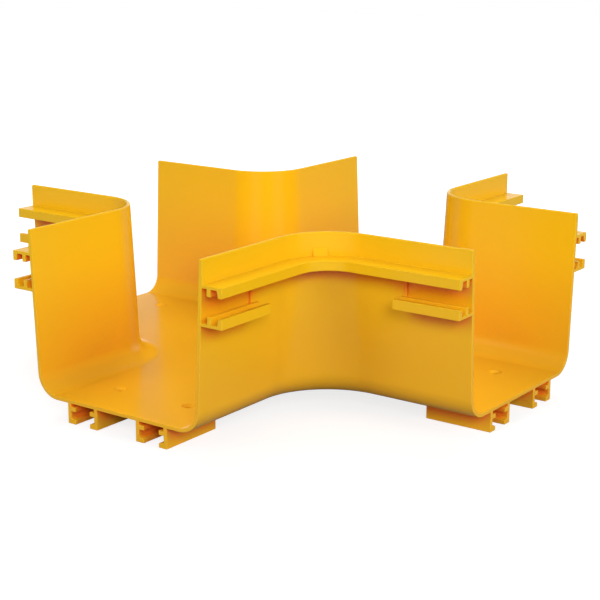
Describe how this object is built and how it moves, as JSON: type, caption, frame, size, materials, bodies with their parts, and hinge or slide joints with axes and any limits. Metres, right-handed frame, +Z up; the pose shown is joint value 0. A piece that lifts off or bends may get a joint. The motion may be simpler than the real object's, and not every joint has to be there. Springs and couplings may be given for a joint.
{
  "type": "fibre raceway cross fitting",
  "caption": "Open-topped cross junction of a plastic fibre raceway, with leaning walls, rounded inside bends, coupler slots outside and below, and a ledge for a cover.",
  "frame": {"origin": "middle of the crossing, on the plane of the feet", "axes": "X and Y along the four arms, +Z up"},
  "size_m": [0.44, 0.44, 0.146],
  "materials": {
    "yellow_plastic": "satin, yellow"
  },
  "bodies": {
    "root": {"cross_fitting": "yellow_plastic"}
  },
  "joints": []
}
